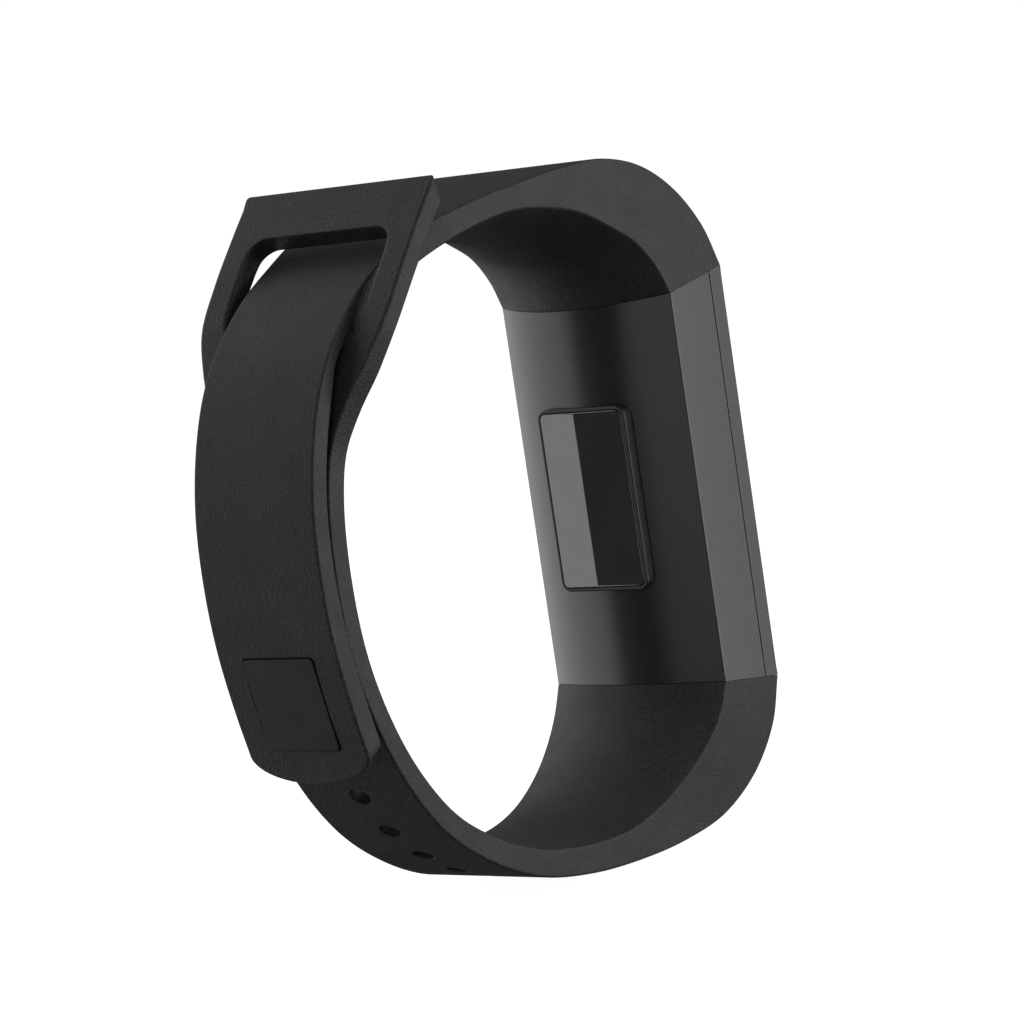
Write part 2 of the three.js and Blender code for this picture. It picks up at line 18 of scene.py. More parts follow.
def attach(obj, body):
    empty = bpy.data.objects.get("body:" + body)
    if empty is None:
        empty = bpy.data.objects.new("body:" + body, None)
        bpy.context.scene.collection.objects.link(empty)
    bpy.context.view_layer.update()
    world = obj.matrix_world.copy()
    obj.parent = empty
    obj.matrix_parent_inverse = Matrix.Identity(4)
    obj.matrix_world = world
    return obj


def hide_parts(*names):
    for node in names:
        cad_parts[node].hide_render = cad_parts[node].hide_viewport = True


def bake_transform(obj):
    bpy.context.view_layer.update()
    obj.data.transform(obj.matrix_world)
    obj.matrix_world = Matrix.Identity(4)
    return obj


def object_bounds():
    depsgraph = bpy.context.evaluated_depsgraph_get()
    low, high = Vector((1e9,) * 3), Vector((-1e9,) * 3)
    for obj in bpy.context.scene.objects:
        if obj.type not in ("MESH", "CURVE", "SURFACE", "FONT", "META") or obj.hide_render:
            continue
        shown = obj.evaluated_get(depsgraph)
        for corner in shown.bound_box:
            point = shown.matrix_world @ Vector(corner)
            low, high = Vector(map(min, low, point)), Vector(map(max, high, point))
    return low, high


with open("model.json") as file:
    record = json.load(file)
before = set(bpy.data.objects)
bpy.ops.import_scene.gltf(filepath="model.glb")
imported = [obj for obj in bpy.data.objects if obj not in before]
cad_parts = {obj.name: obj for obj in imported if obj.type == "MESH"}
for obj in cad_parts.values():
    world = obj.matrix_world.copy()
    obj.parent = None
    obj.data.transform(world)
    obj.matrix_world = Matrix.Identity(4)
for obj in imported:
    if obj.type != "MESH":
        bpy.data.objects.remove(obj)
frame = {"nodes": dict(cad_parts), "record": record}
cad_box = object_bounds()

MM = 0.001

# ------------------------------------------------------------------ sizes

CASE = {"back": 25.3, "front": 34.35, "parting": 32.25, "half": 10, "half_back": 18.8, "half_front": 20.25,
        "crown": 3.2}
LENS = {"half_width": 8.2, "half_length": 16.5, "corner": 1.8, "thickness": 0.9}
BEZEL = {"half_width": 5.15, "half_length": 8.95, "corner": 1.0, "face": 21.75, "back": 23.1,
         "inset": 0.4, "seat_depth": 1.05, "seat_air": 0.04}
HOLE = {"radius": 1.05, "pitch": 5.2, "count": 9, "with_peg": 6, "rim": 0.06}
PLATE = {"width": 7.9, "length": 8.7, "thickness": 0.7, "sunk": -0.05, "corner": 0.4,
         "air": 0.08, "air_below": 0.3}
PEG = {"radius": 0.75, "reach": 2.0, "bore": 0.82, "round": 0.25}
# The slot's lower corners are rounder than in the CAD. The tail's edges sink into them, so that no gap is
# left beside it.
SLOT = {"half": 7.9, "from": 5, "to": 17.3, "upper_corner": 1.7, "lower_corner": 4.8}
TAIL_THICKNESS = 2.15

# places along the straps, in stations
CASE_END = 0.001
SEAM = 14.55
PLATE_INDEX = 16.88
PEG_INDEX = 17.16
TIP_START = 18

# Stations of the two straps, from the case outwards, as in the CAD:
# outer x, outer z, inner x, inner z, width, crown of the inner face.
UPPER = [
    [34.35, 20.3, 25.3, 18.85, 20.0, 3.2],
    [32.45, 24.3, 23.75, 21.6, 19.8, 3.05],
    [28.9, 28.2, 21.2, 24.2, 19.5, 2.8],
    [24.0, 31.1, 18.0, 26.0, 19.3, 2.75],
    [18.0, 32.5, 13.8, 27.9, 19.1, 2.7],
    [11.5, 32.45, 9.2, 29.0, 18.8, 2.6],
    [5.0, 31.85, 4.0, 29.45, 18.2, 2.4],
    [-1.0, 31.1, -1.6, 28.75, 17.3, 1.9],
    [-6.5, 29.9, -7.1, 27.2, 15.4, 1.0],
    [-11.5, 28.03, -10.9, 25.5, 13.9, 0.2],
    [-16.7, 25.2, -15.2, 22.9, 13.5, 0],
    [-21.17, 21.2, -20.28, 20.43, 13.5, 0],
    [-23.67, 17.7, -22.17, 16.8, 13.5, 0],
    [-25.67, 13.0, -23.85, 12.4, 13.5, 0],
    [-26.89, 7.8, -24.95, 7.5, 13.5, 0],
    [-27.24, 2.0, -25.24, 2.0, 13.5, 0],
    [-26.87, -3.8, -24.8, -3.55, 13.5, 0],
    [-25.8, -9.5, -23.72, -8.95, 13.5, 0],
    [-24.75, -13.65, -22.75, -12.85, 13.5, 0],
    [-24.15, -16.4, -22.4, -14.6, 13.5, 0],
]
LOWER = [
    [34.35, -20.3, 25.3, -18.85, 20.0, 3.2],
    [32.55, -24.65, 23.75, -21.7, 19.8, 3.0],
    [29.15, -28.6, 20.9, -24.5, 18.9, 2.6],
    [24.0, -31.4, 17.4, -26.7, 17.8, 2.3],
    [17.5, -32.4, 13.3, -28.4, 16.9, 1.8],
    [10.5, -32.4, 8.8, -29.2, 16.2, 1.2],
    [3.5, -31.8, 3.0, -28.95, 15.2, 0.6],
    [-3.3, -30.3, -2.6, -27.8, 14.0, 0.2],
    [-9.6, -27.3, -8.3, -25.3, 13.2, 0],
    [-15.0, -23.3, -13.4, -21.8, 12.8, 0],
    [-19.3, -18.0, -17.4, -17.0, 12.7, 0],
    [-22.3, -12.0, -20.3, -11.5, 12.7, 0],
    [-24.25, -5.6, -22.15, -5.4, 12.7, 0],
    [-24.8, 1.4, -22.7, 1.4, 12.7, 0],
    [-24.25, 8.2, -22.15, 7.8, 12.7, 0],
    [-23.05, 12.6, -20.95, 12.0, 13.0, 0],
    [-21.8, 16.2, -19.75, 15.3, 15.4, 0],
    [-20.15, 19.6, -18.4, 18.4, 18.6, 0],
    [-18.07, 23.2, -16.6, 22.05, 21.1, 0],
    [-15.15, 27.0, -13.65, 25.75, 21.5, 0],
    [-12.2, 30.4, -10.7, 29.1, 21.5, 0],
    [-8.8, 34.07, -8.33, 31.65, 21.5, 0],
]

# ------------------------------------------------------------------ the straps' shape


def spline(points, at):
    """Centripetal Catmull-Rom through the points, at fractional indices, the rule the CAD uses."""
    points = np.asarray(points, float)
    last = len(points) - 1
    before = 2 * points[0] - points[1]
    after = 2 * points[last] - points[last - 1]
    padded = np.vstack([before, points, after])
    k = np.minimum(at.astype(int), last - 1)
    w = (at - k)[:, None]
    p0, p1, p2, p3 = (padded[k + i] for i in range(4))
    gap = [np.sqrt(np.linalg.norm(b - a, axis=1))[:, None] for a, b in ((p0, p1), (p1, p2), (p2, p3))]
    t1 = ((p1 - p0) / gap[0] - (p2 - p0) / (gap[0] + gap[1]) + (p2 - p1) / gap[1]) * gap[1]
    t2 = ((p2 - p1) / gap[1] - (p3 - p1) / (gap[1] + gap[2]) + (p3 - p2) / gap[2]) * gap[1]
    return p1 + t1 * w + (3 * (p2 - p1) - 2 * t1 - t2) * w**2 + (2 * (p1 - p2) + t1 + t2) * w**3


class Strap:
    """A strap as curves of its outer and inner face, read by the distance along the outer face."""

    def __init__(self, stations):
        rows = np.array(stations)
        self.index = np.linspace(0, len(rows) - 1, 40 * (len(rows) - 1) + 1)
        outer = spline(rows[:, [0, 4, 1]] * (1, 0.5, 1), self.index)
        inner = spline(rows[:, [2, 5, 3]], self.index)
        steps = np.hypot(*np.diff(outer[:, [0, 2]], axis=0).T)
        self.length = np.concatenate([[0], np.cumsum(steps)])
        self.columns = np.hstack([outer, inner])

    def where(self, index):
        """Distance along the outer face of a station index."""
        return float(np.interp(index, self.index, self.length))

    def read(self, s):
        """Outer x, half width, outer z, inner x, crown and inner z at distances along the outer face."""
        return [np.interp(s, self.length, column) for column in self.columns.T]

    def half(self, s):
        return self.read(s)[1]

    def place(self, s, y, depth, from_inner):
        """Points in the part's frame. Depth counts from the outer face, or from the inner one."""
        ox, half, oz, ix, crown, iz = self.read(s)
        thick = np.hypot(ix - ox, iz - oz)
        rise = crown * np.clip(1 - (y / half) ** 2, 0, 1)
        depth = np.where(from_inner, thick + rise - depth, depth)
        return np.column_stack([ox + (ix - ox) / thick * depth, y, oz + (iz - oz) / thick * depth])

    def seat(self, index):
        """Origin and axes of a flat piece on the outer face: along the strap, across it and outwards."""
        s = self.where(index)
        ends = self.place(np.array([s - 0.1, s + 0.1]), np.zeros(2), np.zeros(2), np.zeros(2, bool))
        along = Vector(ends[1] - ends[0]).normalized()
        here = self.place(np.array([s, s]), np.zeros(2), np.array([0, 1.0]), np.zeros(2, bool))
        outward = along.cross(Vector((0, 1, 0)))
        if outward.dot(Vector(here[0] - here[1])) < 0:
            outward.negate()
        return Vector(here[0]), along, outward

    def nearest(self, point):
        ox, oz = self.columns[:, 0], self.columns[:, 2]
        return float(self.length[np.argmin(np.hypot(ox - point[0], oz - point[2]))])


upper = Strap(UPPER)
lower = Strap(LOWER)

# ------------------------------------------------------------------ outlines


def arc(centre, radius, start, stop, count=8):
    turns = np.radians(np.linspace(start, stop, count + 1))
    return [(centre[0] + radius * math.cos(t), centre[1] + radius * math.sin(t)) for t in turns]


def rounded_rectangle(half_a, half_b, corner, middle=(0, 0), count=8, behind=None):
    """The two corners behind may have a radius of their own."""
    points = []
    for i, (sa, sb) in enumerate(((1, 1), (-1, 1), (-1, -1), (1, -1))):
        radius = behind if behind and sa < 0 else corner
        turn = (middle[0] + sa * (half_a - radius), middle[1] + sb * (half_b - radius))
        points += arc(turn, radius, 90 * i, 90 * i + 90, count)
    return points


def rectangle(half_a, half_b):
    return [(half_a, half_b), (-half_a, half_b), (-half_a, -half_b), (half_a, -half_b)]


def circle(middle, radius, count=40):
    return arc(middle, radius, 0, 360, count)[:-1]


def divided(points, step):
    """A closed outline with its long edges divided."""
    out = []
    for a, b in zip(points, points[1:] + points[:1]):
        count = max(1, int(np.hypot(b[0] - a[0], b[1] - a[1]) / step))
        out += [(a[0] + (b[0] - a[0]) * j / count, a[1] + (b[1] - a[1]) * j / count) for j in range(count)]
    return out


# ------------------------------------------------------------------ sheets

SUPPORT = 0.14     # usual width of the flat strip that keeps a rim's shading off the face beside it
RIM_STEPS = 5
GRID_CLEARANCE = 0.45     # of the pitch, from a grid point to the nearest outline
LEDGE_PITCH = (1.0, 1.0)     # grid of the ledges in pockets, and of the small flat pieces


class Loop:
    """A closed outline whose region lies to its left, with its inward directions.

    A run of points at one of the seams is a flat end: it is closed by one face square to the sheet.
    """

    def __init__(self, points, hole=False, seams=()):
        points = np.array(points, float)
        area = np.sum(points[:, 0] * np.roll(points[:, 1], -1) - np.roll(points[:, 0], -1) * points[:, 1])
        if (area < 0) != hole:
            points = points[::-1]
        self.points = points
        ahead = np.roll(points, -1, axis=0) - points
        ahead /= np.linalg.norm(ahead, axis=1)[:, None]
        left = np.column_stack([-ahead[:, 1], ahead[:, 0]])
        both = left + np.roll(left, 1, axis=0)
        both /= np.linalg.norm(both, axis=1)[:, None]
        reach = np.clip(np.sum(both * left, axis=1), 0.5, 1)
        self.inward = both / reach[:, None]
        count = len(points)
        self.on_end = np.zeros(count, bool)
        for seam in seams:
            at_seam = np.abs(points[:, 0] - seam) < 1e-6
            across = points[at_seam, 1]
            corner = np.abs(across) > np.max(np.abs(across)) - 1e-6
            self.inward[at_seam] = np.column_stack([np.zeros(len(across)), -np.sign(across) * corner])
            self.on_end |= at_seam & np.roll(at_seam, -1)
        self.ends = []
        for i in range(count):
            if self.on_end[i] and not self.on_end[i - 1]:
                run = [i]
                while self.on_end[run[-1]]:
                    run.append((run[-1] + 1) % count)
                self.ends.append(run)

    def shrunk(self, inset):
        return self.points + self.inward * np.reshape(inset, (-1, 1))


def rim_rows(radius, support):
    """(inset, depth) of the rows from a face over its rounded rim on to the wall.

    A radius of one number per point gives every row one number per point, zeros too.
    """
    turns = np.linspace(0, math.pi / 2, RIM_STEPS + 1)
    rows = [(radius + support, 0.0 * radius)]
    rows += [(radius * (1 - math.sin(t)), radius * (1 - math.cos(t))) for t in turns]
    return rows + [(0.0 * radius, radius + support)]


def inside(points, outlines):
    """Which points lie in the region, by the even-odd rule."""
    crossings = np.zeros(len(points), int)
    for outline in outlines:
        a, b = outline, np.roll(outline, -1, axis=0)
        for (ax, ay), (bx, by) in zip(a, b):
            if ay == by:
                continue
            spans = (ay > points[:, 1]) != (by > points[:, 1])
            crossings += spans & (points[:, 0] < (bx - ax) * (points[:, 1] - ay) / (by - ay) + ax)
    return crossings % 2 == 1


class Sheet:
    """Vertices in sheet coordinates (a, b, depth, counted from the inner face or not) and their faces."""

    def __init__(self):
        self.rows = []
        self.faces = []

    def add(self, points, depth, from_inner):
        start = len(self.rows)
        depths = np.broadcast_to(depth, len(points))
        self.rows += [(a, b, d, from_inner) for (a, b), d in zip(points, depths)]
        return start

    def wall(self, loop, rows):
        """Joins the rows of one loop, each (inset, depth, from_inner), and returns its first and last ring."""
        starts = [self.add(loop.shrunk(inset), depth, side) for inset, depth, side in rows]
        n = len(loop.points)
        for lo, hi in zip(starts, starts[1:]):
            self.faces += [
                (lo + i, lo + (i + 1) % n, hi + (i + 1) % n, hi + i) for i in range(n) if not loop.on_end[i]]
        for run in loop.ends:
            top, bottom = starts[0], starts[-1]
            self.faces.append(tuple(
                [top + i for i in run] + [start + run[-1] for start in starts[1:]]
                + [bottom + i for i in run[-2::-1]] + [start + run[0] for start in starts[-2:0:-1]]))
        first, last = rows[0], rows[-1]
        return ((loop.shrunk(first[0]), starts[0]), (loop.shrunk(last[0]), starts[-1]))

    def cap(self, rings, depth, from_inner, pitch):
        """Fills the region between rings with triangles over a grid of points."""
        outlines = [points for points, _ in rings]
        ring_ids = np.concatenate([start + np.arange(len(points)) for points, start in rings])
        flat = np.vstack(outlines)
        lo, hi = flat.min(axis=0), flat.max(axis=0)
        counts = [max(2, int((hi[i] - lo[i]) / pitch[i])) for i in range(2)]
        a, b = (lo[i] + (np.arange(counts[i]) + 0.5) * (hi[i] - lo[i]) / counts[i] for i in range(2))
        grid = np.array([(x, y) for x in a for y in b])
        grid = grid[inside(grid, outlines)]
        if len(grid):
            nearest = np.array([np.min(np.hypot(*(flat - p).T)) for p in grid])
            clear = nearest > GRID_CLEARANCE * min(pitch)
            grid = grid[clear]
        start = self.add(grid, depth, from_inner)
        ids = np.concatenate([ring_ids, start + np.arange(len(grid))])
        edges, first = [], 0
        for points in outlines:
            n = len(points)
            edges += [(first + i, first + (i + 1) % n) for i in range(n)]
            first += n
        corners = [Vector(p) for p in np.vstack([flat, grid])]
        made, _, triangles, originals, _, _ = delaunay_2d_cdt(corners, edges, [], 0, 1e-9)
        middles = np.array([np.mean([made[i] for i in t], axis=0) for t in triangles])
        keep = inside(middles, outlines)
        for triangle, kept in zip(triangles, keep):
            if kept:
                self.faces.append(tuple(int(ids[originals[i][0]]) for i in triangle))


def outer_rows(radius, support):
    return [(inset, depth, False) for inset, depth in rim_rows(radius, support)]


def inner_rows(radius, support):
    return [(inset, depth, True) for inset, depth in reversed(rim_rows(radius, support))]


def make_sheet(name, place, border, rims, pitch, through=(), pocket=None, cavity=None, seams=(),
               support=SUPPORT):
    """A closed solid from an outline.

    place turns sheet coordinates into points in millimetres. rims are the rounding of the outer and inner
    edges, each one number or a function of the outline's points. through holds (outline, rim) pairs cut
    right through. pocket is (outline, depth, rim, opening), a recess in the outer face whose floor has an
    opening down to the inner face. cavity is (outline, depth), a wider room behind that opening, which
    starts at a depth below the outer face.
    """

    def rounding(rim, loop):
        return rim(loop.points) if callable(rim) else rim

    sheet = Sheet()
    loop = Loop(border, seams=seams)
    first, last = sheet.wall(
        loop, outer_rows(rounding(rims[0], loop), support) + inner_rows(rounding(rims[1], loop), support))
    outer_rings, inner_rings = [first], [last]
    for outline, rim in through:
        loop = Loop(outline, hole=True)
        rim = rounding(rim, loop)
        first, last = sheet.wall(loop, outer_rows(rim, support) + inner_rows(rim, support))
        outer_rings.append(first)
        inner_rings.append(last)
    if pocket:
        outline, floor, rim, opening = pocket
        first, last = sheet.wall(Loop(outline, hole=True), outer_rows(rim, support) + [(0, floor, False)])
        outer_rings.append(first)
        below = [(0, cavity[1], False)] if cavity else inner_rows(rim, support)
        opening_top, opening_end = sheet.wall(Loop(opening, hole=True), [(0, floor, False)] + below)
        sheet.cap([last, opening_top], floor, False, LEDGE_PITCH)
        if cavity:
            first, last = sheet.wall(
                Loop(cavity[0], hole=True), [(0, cavity[1], False)] + inner_rows(rim, support))
            sheet.cap([first, opening_end], cavity[1], False, LEDGE_PITCH)
            inner_rings.append(last)
        else:
            inner_rings.append(opening_end)
    sheet.cap(outer_rings, 0.0, False, pitch)
    sheet.cap(inner_rings, 0.0, True, pitch)
    rows = np.array([row[:3] for row in sheet.rows])
    from_inner = np.array([row[3] for row in sheet.rows])
    points = place(rows[:, 0], rows[:, 1], rows[:, 2], from_inner) * MM
    mesh = bpy.data.meshes.new(name)
    mesh.from_pydata(points.tolist(), [], sheet.faces)
    made = bmesh.new()
    made.from_mesh(mesh)
    bmesh.ops.delete(made, geom=[v for v in made.verts if not v.link_faces], context="VERTS")
    bmesh.ops.recalc_face_normals(made, faces=made.faces)
    open_edges = [e for e in made.edges if len(e.link_faces) != 2]
    if open_edges:
        raise ValueError(f"{name} is not closed: {len(open_edges)} edges")
    made.to_mesh(mesh)
    made.free()
    mesh.shade_smooth()
    mesh.set_sharp_from_angle(angle=math.radians(50))
    obj = bpy.data.objects.new(name, mesh)
    bpy.context.scene.collection.objects.link(obj)
    return obj


BORDER_STEP = 0.5
ACROSS_COUNT = 25     # outline points across a flat end, its corners included


def strap_border(strap, start, stop, end_points=()):
    """Outline of a stretch of strap, down one side and back up the other, with its far end's own points."""
    s = np.linspace(start, stop, int((stop - start) / BORDER_STEP) + 1)
    half = strap.half(s)
    near = [(a, -h) for a, h in zip(s, half)]
    far = [(a, h) for a, h in zip(s[::-1], half[::-1])]
    first_end = [(start, y) for y in np.linspace(half[0], -half[0], ACROSS_COUNT)[1:-1]]
    if end_points:
        return near[:-1] + list(end_points) + far[1:] + first_end
    last_end = [(stop, y) for y in np.linspace(-half[-1], half[-1], ACROSS_COUNT)[1:-1]]
    return near + last_end + far + first_end


def edge_rim(*places):
    """A rim radius read by the distance along the strap, from (distance, radius) pairs."""
    at, radius = zip(*places)
    return lambda points: np.interp(points[:, 0], at, radius)


STRAP_RIM = 0.22
CASE_RIM = 0.1     # rim of the straps beside the case
FRAME_RIM = 0.3
FRAME_END_RIM = 0.08
FRAME_CORNER = 0.4
SLOT_RIM = 0.42
SLOT_TOP_RIM = 0.1
CASE_RIM_TO, STRAP_RIM_FROM = 10, 25     # the rim widens between these distances from the case
PITCH = (0.55, 0.95)

seam = upper.where(SEAM)
tip_start = upper.where(TIP_START)
tip_reach = upper.length[-1] - tip_start
strap_start = upper.where(CASE_END)

upper_rim = edge_rim((0, CASE_RIM), (CASE_RIM_TO, CASE_RIM), (STRAP_RIM_FROM, STRAP_RIM))
upper_skin = make_sheet(
    "strap_upper_skin", upper.place, strap_border(upper, strap_start, seam), (upper_rim, upper_rim), PITCH,
    seams=(strap_start, seam))

tip_half = float(upper.half(tip_start))
tip_turns = np.linspace(-math.pi / 2, math.pi / 2, 49)[1:-1]
tip_end = [(tip_start + tip_reach * math.cos(t), tip_half * math.sin(t)) for t in tip_turns]
plate_middle = upper.where(PLATE_INDEX)
peg_place = upper.where(PEG_INDEX)
plate_hole = rounded_rectangle(
    PLATE["length"] / 2 + PLATE["air"], PLATE["width"] / 2 + PLATE["air"], PLATE["corner"],
    (plate_middle, 0), 4)
plate_floor = PLATE["sunk"] + PLATE["thickness"] + PLATE["air_below"]
tip_skin = make_sheet(
    "strap_tip_skin", upper.place, strap_border(upper, seam, tip_start, end_points=tip_end),
    (STRAP_RIM, STRAP_RIM), PITCH, seams=(seam,),
    pocket=(divided(plate_hole, 0.5), plate_floor, 0.05, circle((peg_place, 0), PEG["bore"], 24)))

lower_end = float(lower.length[-1])
frame_half = float(lower.half(lower_end)) - FRAME_CORNER
frame_turn = lower_end - FRAME_CORNER
frame_end = arc((frame_turn, -frame_half), FRAME_CORNER, -90, 0)
frame_end += [(lower_end, y) for y in np.linspace(-frame_half, frame_half, 20)[1:-1]]
frame_end += arc((frame_turn, frame_half), FRAME_CORNER, 0, 90)
lower_start = lower.where(CASE_END)
lower_outline = strap_border(lower, lower_start, frame_turn, end_points=frame_end)
frame_foot = lower_end - SLOT["to"]
lower_rim = edge_rim(
    (0, CASE_RIM), (CASE_RIM_TO, CASE_RIM), (STRAP_RIM_FROM, STRAP_RIM),
    (frame_foot - 4, STRAP_RIM), (frame_foot, FRAME_RIM),
    (frame_turn - 1, FRAME_RIM), (frame_turn, FRAME_END_RIM))
slot_middle = (lower_end - (SLOT["from"] + SLOT["to"]) / 2, 0)
slot = rounded_rectangle(
    (SLOT["to"] - SLOT["from"]) / 2, SLOT["half"], SLOT["upper_corner"], slot_middle,
    behind=SLOT["lower_corner"])
slot_top = lower_end - SLOT["from"]
slot_rim = edge_rim((slot_top - 2.4, SLOT_RIM), (slot_top - 0.3, SLOT_TOP_RIM))
peg_hole = lower.nearest(upper.seat(PEG_INDEX)[0])
holes = [
    (circle((peg_hole + (i - HOLE["with_peg"]) * HOLE["pitch"], 0), HOLE["radius"]), HOLE["rim"])
    for i in range(HOLE["count"])
]
lower_skin = make_sheet(
    "strap_lower_skin", lower.place, lower_outline, (lower_rim, lower_rim), PITCH,
    through=[(divided(slot, 0.5), slot_rim)] + holes, seams=(lower_start,))

# ------------------------------------------------------------------ case and glasses

END_REACH = 0.02       # the case ends reach this far over the strap ends
PARTING_GAP = 0.06     # from the parting plane to either half of the case


def case_half(x):
    slope = (CASE["half_front"] - CASE["half_back"]) / (CASE["front"] - CASE["back"])
    return CASE["half_back"] + slope * (x - CASE["back"]) + END_REACH


def rear_place(z, y, depth, from_inner):
    back = CASE["back"] - CASE["crown"] * (1 - (y / CASE["half"]) ** 2)
    x = np.where(from_inner, CASE["parting"] - PARTING_GAP - depth, back + depth)
    return np.column_stack([x, y, z * case_half(x) / case_half(CASE["back"])])


def front_place(z, y, depth, from_inner):
    x = np.where(from_inner, CASE["parting"] + PARTING_GAP + depth, CASE["front"] - depth)
    scale = np.where(np.abs(z) > LENS["half_length"] + 0.5, case_half(x) / case_half(CASE["front"]), 1)
    return np.column_stack([x, y, z * scale])


def flat_place(face, back):
    """A flat piece square to X, its outer face at x = face and its inner one at x = back."""
    way = math.copysign(1, back - face)

    def place(z, y, depth, from_inner):
        return np.column_stack([np.where(from_inner, back - way * depth, face + way * depth), y, z])

    return place


def seat_place(seat, face, back):
    """A flat piece on a strap's seat, its face and its back that far out from the strap's outer face."""
    origin, along, outward = (np.array(v) for v in seat)

    def place(a, b, depth, from_inner):
        out = np.where(from_inner, back + depth, face - depth)
        return origin + a[:, None] * along + b[:, None] * (0, 1, 0) + out[:, None] * outward

    return place


CASE_WALL = 1.2
END_WALL = 1.8
END_RIM = 0.03


def side_rim(half, at_side, at_end):
    """A rim radius for an outline that is wider along its sides than at its two ends."""
    return lambda points: np.where(np.abs(points[:, 0]) > half - 0.3, at_end, at_side)


rear_half = case_half(CASE["back"])
rear_outline = divided(rectangle(rear_half, CASE["half"]), 0.6)
bezel_seat = rounded_rectangle(
    BEZEL["half_length"] + BEZEL["seat_air"], BEZEL["half_width"] + BEZEL["seat_air"], BEZEL["corner"])
bezel_opening = rounded_rectangle(BEZEL["half_length"] - 0.5, BEZEL["half_width"] - 0.5, 0.6, count=4)
rear_room = rounded_rectangle(rear_half - END_WALL, CASE["half"] - CASE_WALL, 0.6, count=4)
rear_skin = make_sheet(
    "case_rear_skin", rear_place, rear_outline, (side_rim(rear_half, 0.1, END_RIM), 0.04), (0.9, 0.6),
    pocket=(divided(bezel_seat, 0.5), BEZEL["seat_depth"], 0.03, divided(bezel_opening, 0.6)),
    cavity=(divided(rear_room, 0.6), CASE_WALL + 0.1), support=0.05)

front_outline = divided(rectangle(case_half(CASE["front"]), CASE["half"]), 0.8)
lens_seat = rounded_rectangle(LENS["half_length"] + 0.08, LENS["half_width"] + 0.08, LENS["corner"])
lens_view = rounded_rectangle(LENS["half_length"] - 1, LENS["half_width"] - 1, 1)
front_skin = make_sheet(
    "case_front_skin", front_place, front_outline,
    (side_rim(case_half(CASE["front"]), 0.12, END_RIM), 0.04), (0.9, 0.9),
    pocket=(divided(lens_seat, 0.8), LENS["thickness"] + 0.15, 0.05, divided(lens_view, 0.8)), support=0.05)

lens_skin = make_sheet(
    "display_glass", flat_place(CASE["front"], CASE["front"] - LENS["thickness"]),
    divided(rounded_rectangle(LENS["half_length"], LENS["half_width"], LENS["corner"]), 0.8),
    (0.22, 0.05), (1.2, 1.2))

glass_long = BEZEL["half_length"] - BEZEL["inset"]
glass_wide = BEZEL["half_width"] - BEZEL["inset"]
bezel_skin = make_sheet(
    "sensor_bezel_ring", flat_place(BEZEL["face"], BEZEL["back"]),
    divided(rounded_rectangle(BEZEL["half_length"], BEZEL["half_width"], BEZEL["corner"]), 0.6),
    (0.16, 0.05), LEDGE_PITCH,
    pocket=(divided(rounded_rectangle(glass_long + 0.05, glass_wide + 0.05, 0.65), 0.6), 0.45, 0.05,
            divided(rounded_rectangle(glass_long - 0.7, glass_wide - 0.7, 0.4, count=4), 0.6)), support=0.04)
window_skin = make_sheet(
    "sensor_glass", flat_place(BEZEL["face"] - 0.05, BEZEL["face"] + 0.35),
    divided(rounded_rectangle(glass_long, glass_wide, 0.6), 0.6), (0.1, 0.04), LEDGE_PITCH, support=0.06)

# ------------------------------------------------------------------ clasp

plate_seat = upper.seat(PLATE_INDEX)
plate_skin = make_sheet(
    "clasp_plate_skin", seat_place(plate_seat, -PLATE["sunk"], -PLATE["sunk"] - PLATE["thickness"]),
    divided(rounded_rectangle(PLATE["length"] / 2, PLATE["width"] / 2, PLATE["corner"], count=4), 0.6),
    (0.06, 0.06), LEDGE_PITCH, support=0.06)


def turned(name, seat, profile, sides=40):
    """A closed solid turned about a seat's outward axis.

    profile holds (radius, height) points, and starts and ends on the axis.
    """
    origin, along, outward = seat
    across = outward.cross(along)
    turns = [2 * math.pi * i / sides for i in range(sides)]
    made = bmesh.new()
    rings = []
    for radius, height in profile[1:-1]:
        rings.append([
            made.verts.new((origin + outward * height
                            + (along * math.cos(t) + across * math.sin(t)) * radius) * MM) for t in turns])
    for a, b in zip(rings, rings[1:]):
        for i in range(sides):
            made.faces.new((a[i], a[(i + 1) % sides], b[(i + 1) % sides], b[i]))
    for (_, height), ring in ((profile[0], rings[0]), (profile[-1], rings[-1])):
        tip = made.verts.new((origin + outward * height) * MM)
        for i in range(sides):
            made.faces.new((ring[i], ring[(i + 1) % sides], tip))
    bmesh.ops.recalc_face_normals(made, faces=made.faces)
    mesh = bpy.data.meshes.new(name)
    made.to_mesh(mesh)
    made.free()
    mesh.shade_smooth()
    mesh.set_sharp_from_angle(angle=math.radians(40))
    obj = bpy.data.objects.new(name, mesh)
    bpy.context.scene.collection.objects.link(obj)
    return obj


peg_top = -plate_floor
peg_end = -TAIL_THICKNESS - PEG["reach"]
peg_profile = [(0, peg_top), (PEG["radius"], peg_top), (PEG["radius"], peg_end + PEG["round"])]
peg_profile += [
    (PEG["radius"] - PEG["round"] * (1 - math.cos(t)), peg_end + PEG["round"] * (1 - math.sin(t)))
    for t in np.linspace(0, math.pi / 2, 6)[1:]
]
peg_profile.append((0, peg_end))
peg_skin = turned("clasp_peg_pin", upper.seat(PEG_INDEX), peg_profile)

# ------------------------------------------------------------------ materials

PATCH_MM = 3.5      # size of the slow wander in colour and gloss
SMEAR_MM = 5.0      # size of the smears on glass


